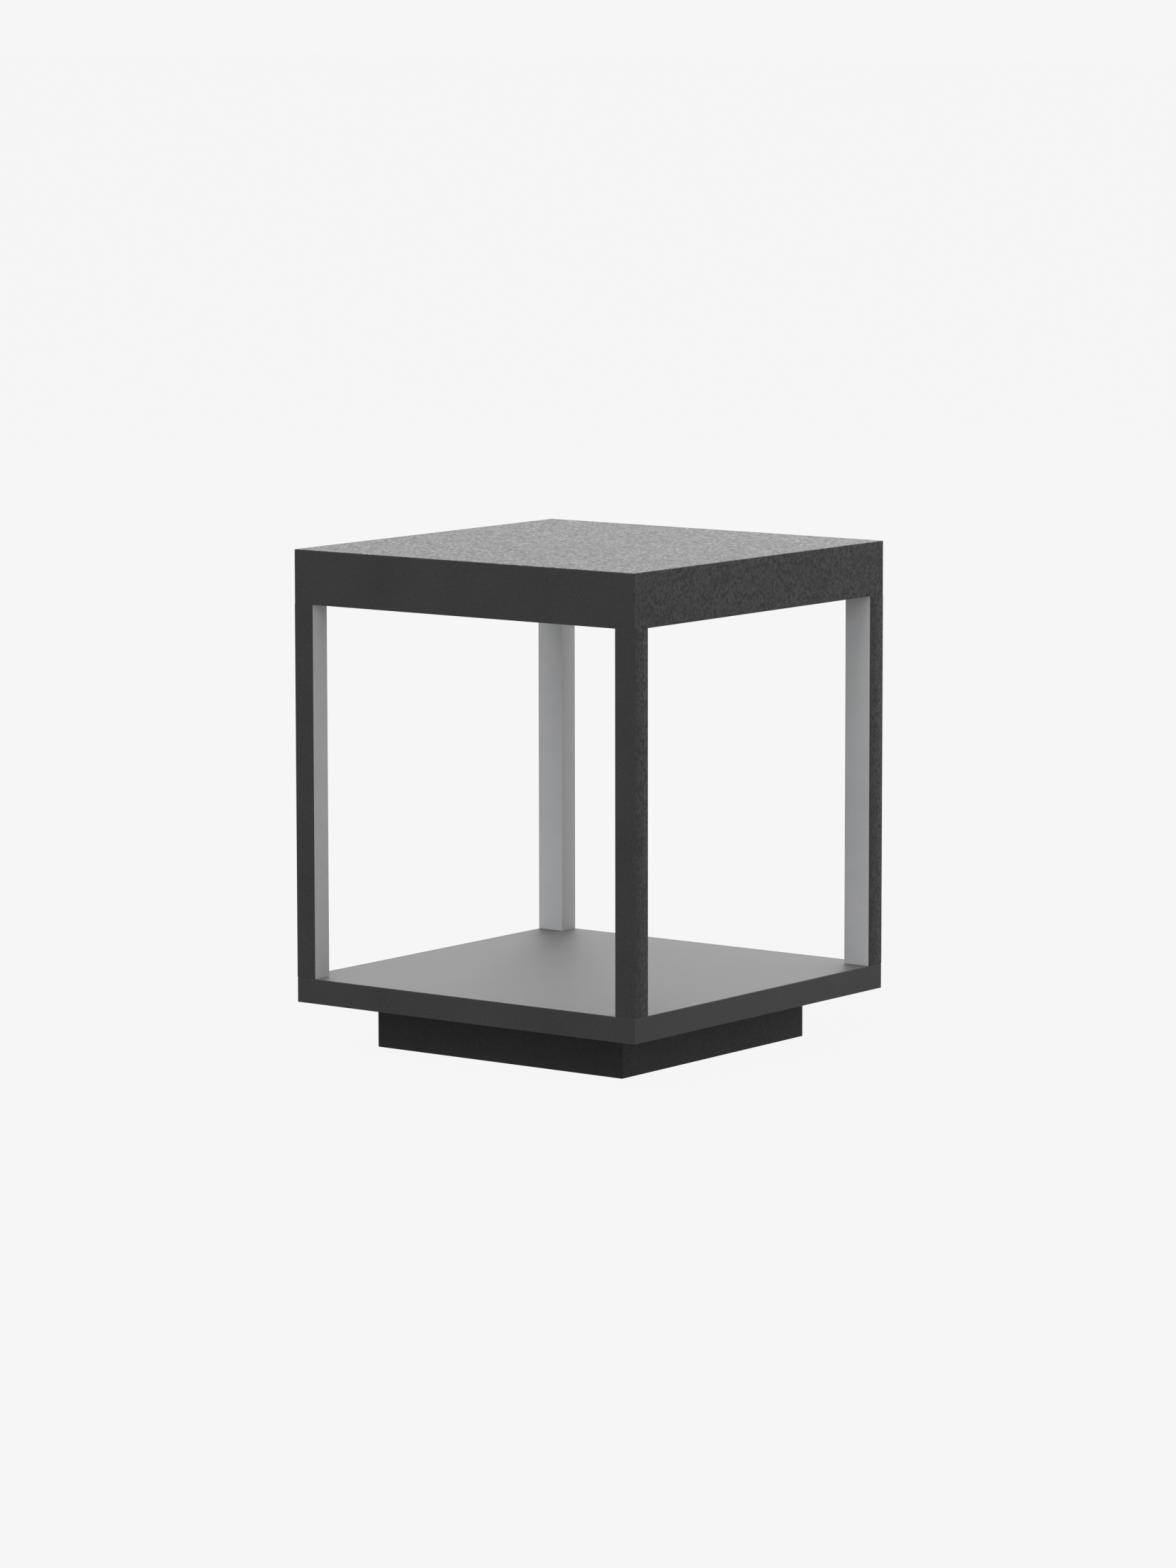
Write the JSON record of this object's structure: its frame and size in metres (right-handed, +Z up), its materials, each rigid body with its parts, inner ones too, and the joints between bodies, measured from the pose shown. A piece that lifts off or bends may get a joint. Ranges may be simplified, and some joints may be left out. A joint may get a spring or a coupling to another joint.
{
  "type": "garden lantern",
  "caption": "Square open-frame garden lantern: shallow head with a downward light panel, slim corner posts, flat base plate and a recessed dark plinth with switch and charging flap.",
  "frame": {"origin": "centre of the footprint at the underside of the rubber feet", "axes": "+Z up; -Y is the front; +Y is the service side with the switch, the charging flap and the two wider posts; +X is to the right when seen from the front"},
  "size_m": [0.25, 0.25, 0.3],
  "materials": {
    "textured_coat": "fine-textured black powder coat, satin",
    "smooth_coat": "smooth black powder coat, satin",
    "grey_coat": "smooth light grey coat, satin",
    "plinth_plastic": "matt black moulding",
    "inner_plastic": "plain black moulding",
    "black_rubber": "matt rubber",
    "stainless_steel": "bright",
    "bare_aluminium": "mill finish",
    "opal_acrylic": "opal, satin",
    "white_plastic": "matt white reflector",
    "circuit_board": "green solder mask",
    "battery_wrap": "blue shrink sleeve",
    "cable_sheath": "matt black sheath",
    "red_lead": "red insulation"
  },
  "bodies": {
    "lantern": {"base_tray": "smooth_coat", "base_underplate": "textured_coat", "battery_cell_1": "battery_wrap", "battery_cell_2": "battery_wrap", "battery_holder": "inner_plastic", "battery_lead": "red_lead", "bottom_cover": "plinth_plastic", "bottom_gasket": "black_rubber", "cable_grommet": "black_rubber", "charge_socket": "stainless_steel", "control_board": "circuit_board", "cover_screw_1": "stainless_steel", "cover_screw_2": "stainless_steel", "cover_screw_3": "stainless_steel", "cover_screw_4": "stainless_steel", "diffuser": "opal_acrylic", "diffuser_gasket": "black_rubber", "flap_pin": "stainless_steel", "foot_1": "black_rubber", "foot_2": "black_rubber", "foot_3": "black_rubber", "foot_4": "black_rubber", "head_cover": "textured_coat", "head_frame": "textured_coat", "head_screw_1": "stainless_steel", "head_screw_2": "stainless_steel", "head_screw_3": "stainless_steel", "head_screw_4": "stainless_steel", "heat_spreader": "bare_aluminium", "lamp_cable": "cable_sheath", "led_board": "circuit_board", "plinth_housing": "plinth_plastic", "plinth_screw_1": "stainless_steel", "plinth_screw_2": "stainless_steel", "plinth_screw_3": "stainless_steel", "plinth_screw_4": "stainless_steel", "post_core_front_left": "grey_coat", "post_core_front_right": "grey_coat", "post_core_rear_left": "grey_coat", "post_core_rear_right": "grey_coat", "post_foot_screw_1": "stainless_steel", "post_foot_screw_2": "stainless_steel", "post_foot_screw_3": "stainless_steel", "post_foot_screw_4": "stainless_steel", "post_head_screw_1": "stainless_steel", "post_head_screw_2": "stainless_steel", "post_head_screw_3": "stainless_steel", "post_head_screw_4": "stainless_steel", "post_skin_front_left": "textured_coat", "post_skin_front_right": "textured_coat", "post_skin_rear_left": "textured_coat", "post_skin_rear_right": "textured_coat", "reflector_frame": "white_plastic", "tact_switch": "inner_plastic", "tray_screw_1": "stainless_steel", "tray_screw_2": "stainless_steel", "tray_screw_3": "stainless_steel", "tray_screw_4": "stainless_steel"},
    "button": {"power_button": "plinth_plastic"},
    "flap": {"port_flap": "black_rubber"}
  },
  "joints": [
    {"name": "button_press", "type": "slide", "parent": "lantern", "child": "button", "axis": [0, -1, 0], "range_m": [0, 0.0012], "stiffness_N_per_m": 1500},
    {"name": "flap_hinge", "type": "hinge", "parent": "lantern", "child": "flap", "pos_m": [0.022, 0.0929, 0.023], "axis": [1, 0, 0], "range_deg": [0, 100]}
  ]
}
